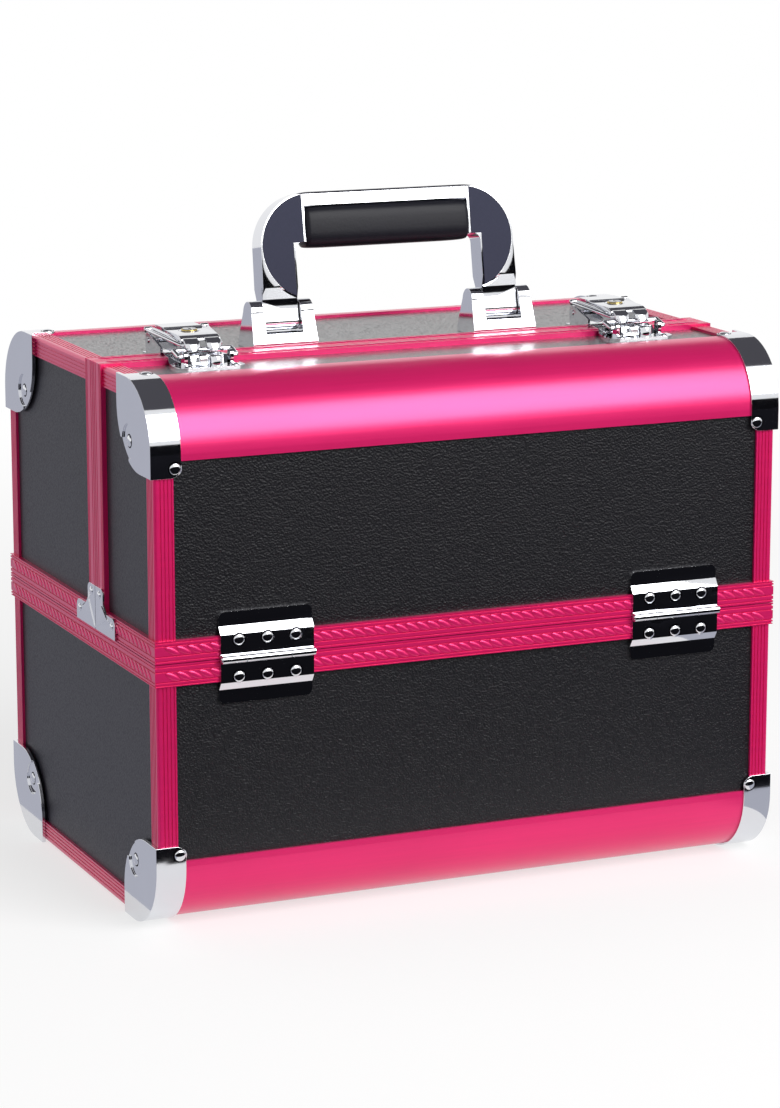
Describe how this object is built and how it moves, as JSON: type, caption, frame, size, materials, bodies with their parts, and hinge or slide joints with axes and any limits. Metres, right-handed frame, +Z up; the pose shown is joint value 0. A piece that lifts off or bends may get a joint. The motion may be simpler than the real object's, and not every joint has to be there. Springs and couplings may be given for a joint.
{
  "type": "make-up train case",
  "caption": "Carrying case with a split top: two hinged half lids lift folding trays on parallel arms; folding handle, key latches, aluminium edges and corner caps.",
  "frame": {"origin": "on the ground under the middle of the closed case's box", "axes": "+Z up, -Y out of the front face with its two hinges, +X to the right seen from the front"},
  "size_m": [0.3236, 0.2204, 0.3275],
  "materials": {
    "anodised_pink": "satin anodised",
    "panel_black": "pebbled laminate",
    "panel_side": "pebbled laminate",
    "chrome": "polished",
    "steel": "plain",
    "brass": "polished",
    "insert": "gloss",
    "grip": "smooth",
    "lining": "matt",
    "tray": "matt, lined"
  },
  "bodies": {
    "base": {"base_front_panel": "panel_black", "base_rear_panel": "panel_black", "base_side_panels": "panel_side", "base_bottom_panel": "panel_black", "base_edge_profiles": "anodised_pink", "base_corner_profiles": "anodised_pink", "base_rim": "anodised_pink", "base_corner_caps": "chrome", "base_rivets": "chrome", "base_floor_pad": "lining", "hinge_lower_leaves": "chrome", "hinge_pins": "steel", "tray_arm_pivots": "steel"},
    "front_lid": {"front_lid_front_panel": "panel_black", "front_lid_top_panel": "panel_black", "front_lid_side_panels": "panel_side", "front_lid_edge_profile": "anodised_pink", "front_lid_corner_profiles": "anodised_pink", "front_lid_lower_rim": "anodised_pink", "front_lid_seam_rim": "anodised_pink", "front_lid_corner_caps": "chrome", "front_lid_seam_brackets": "chrome", "front_lid_rivets": "chrome", "front_hinge_upper_leaves": "chrome", "front_tray_pins": "steel", "latch_strikers": "chrome"},
    "rear_lid": {"rear_lid_rear_panel": "panel_black", "rear_lid_top_panel": "panel_black", "rear_lid_side_panels": "panel_side", "rear_lid_edge_profile": "anodised_pink", "rear_lid_corner_profiles": "anodised_pink", "rear_lid_lower_rim": "anodised_pink", "rear_lid_seam_rim": "anodised_pink", "rear_lid_corner_caps": "chrome", "rear_lid_seam_brackets": "chrome", "rear_lid_rivets": "chrome", "rear_hinge_upper_leaves": "chrome", "rear_tray_pins": "steel", "latch_bases": "chrome", "handle_brackets": "chrome", "handle_pins": "steel"},
    "handle": {"handle_frame": "chrome", "handle_grip": "grip", "handle_inserts": "insert"},
    "latch_lever_left": {"latch_lever_left": "chrome", "lock_cylinder_left": "brass"},
    "latch_lever_right": {"latch_lever_right": "chrome", "lock_cylinder_right": "brass"},
    "lock_plug_left": {"lock_plug_left": "steel"},
    "lock_plug_right": {"lock_plug_right": "steel"},
    "latch_loop_left": {"latch_loop_left": "chrome"},
    "latch_loop_right": {"latch_loop_right": "chrome"},
    "front_tray_arms": {"front_tray_arms": "steel"},
    "rear_tray_arms": {"rear_tray_arms": "steel"},
    "front_lower_tray": {"front_lower_tray": "tray"},
    "front_upper_tray": {"front_upper_tray": "tray"},
    "rear_lower_tray": {"rear_lower_tray": "tray"},
    "rear_upper_tray": {"rear_upper_tray": "tray"}
  },
  "joints": [
    {"name": "front_lid_hinge", "type": "hinge", "parent": "base", "child": "front_lid", "pos_m": [0, -0.1082, 0.129], "axis": [1, 0, 0], "range_deg": [0, 80]},
    {"name": "rear_lid_hinge", "type": "hinge", "parent": "base", "child": "rear_lid", "pos_m": [0, 0.1082, 0.129], "axis": [-1, 0, 0], "range_deg": [0, 80]},
    {"name": "front_arm_pivot", "type": "hinge", "parent": "base", "child": "front_tray_arms", "pos_m": [0, -0.0742, 0.123], "axis": [1, 0, 0], "range_deg": [0, 80]},
    {"name": "rear_arm_pivot", "type": "hinge", "parent": "base", "child": "rear_tray_arms", "pos_m": [0, 0.0742, 0.123], "axis": [-1, 0, 0], "range_deg": [0, 80]},
    {"name": "front_lower_tray_pivot", "type": "hinge", "parent": "front_lid", "child": "front_lower_tray", "pos_m": [0, -0.0792, 0.156], "axis": [1, 0, 0], "range_deg": [-80, 0]},
    {"name": "front_upper_tray_pivot", "type": "hinge", "parent": "front_lid", "child": "front_upper_tray", "pos_m": [0, -0.0592, 0.206], "axis": [1, 0, 0], "range_deg": [-80, 0]},
    {"name": "rear_lower_tray_pivot", "type": "hinge", "parent": "rear_lid", "child": "rear_lower_tray", "pos_m": [0, 0.0792, 0.156], "axis": [-1, 0, 0], "range_deg": [-80, 0]},
    {"name": "rear_upper_tray_pivot", "type": "hinge", "parent": "rear_lid", "child": "rear_upper_tray", "pos_m": [0, 0.0592, 0.206], "axis": [-1, 0, 0], "range_deg": [-80, 0]},
    {"name": "handle_fold", "type": "hinge", "parent": "rear_lid", "child": "handle", "pos_m": [0, -0.005, 0.2665], "axis": [-1, 0, 0], "range_deg": [-10, 78]},
    {"name": "latch_lever_left_lift", "type": "hinge", "parent": "rear_lid", "child": "latch_lever_left", "pos_m": [-0.112, -0.0085, 0.262], "axis": [-1, 0, 0], "range_deg": [0, 115]},
    {"name": "latch_lever_right_lift", "type": "hinge", "parent": "rear_lid", "child": "latch_lever_right", "pos_m": [0.112, -0.0085, 0.262], "axis": [-1, 0, 0], "range_deg": [0, 115]},
    {"name": "lock_left_turn", "type": "hinge", "parent": "latch_lever_left", "child": "lock_plug_left", "pos_m": [-0.112, -0.027, 0.265], "axis": [0, 0, 1], "range_deg": [0, 90]},
    {"name": "lock_right_turn", "type": "hinge", "parent": "latch_lever_right", "child": "lock_plug_right", "pos_m": [0.112, -0.027, 0.265], "axis": [0, 0, 1], "range_deg": [0, 90]},
    {"name": "latch_loop_left_flip", "type": "hinge", "parent": "front_lid", "child": "latch_loop_left", "pos_m": [-0.112, -0.051, 0.2602], "axis": [1, 0, 0], "range_deg": [0, 150]},
    {"name": "latch_loop_right_flip", "type": "hinge", "parent": "front_lid", "child": "latch_loop_right", "pos_m": [0.112, -0.051, 0.2602], "axis": [1, 0, 0], "range_deg": [0, 150]}
  ],
  "couplings": [
    {"joint": "front_arm_pivot", "follows": "front_lid_hinge", "ratio": 1},
    {"joint": "front_lower_tray_pivot", "follows": "front_lid_hinge", "ratio": -1},
    {"joint": "front_upper_tray_pivot", "follows": "front_lid_hinge", "ratio": -1},
    {"joint": "rear_arm_pivot", "follows": "rear_lid_hinge", "ratio": 1},
    {"joint": "rear_lower_tray_pivot", "follows": "rear_lid_hinge", "ratio": -1},
    {"joint": "rear_upper_tray_pivot", "follows": "rear_lid_hinge", "ratio": -1}
  ]
}
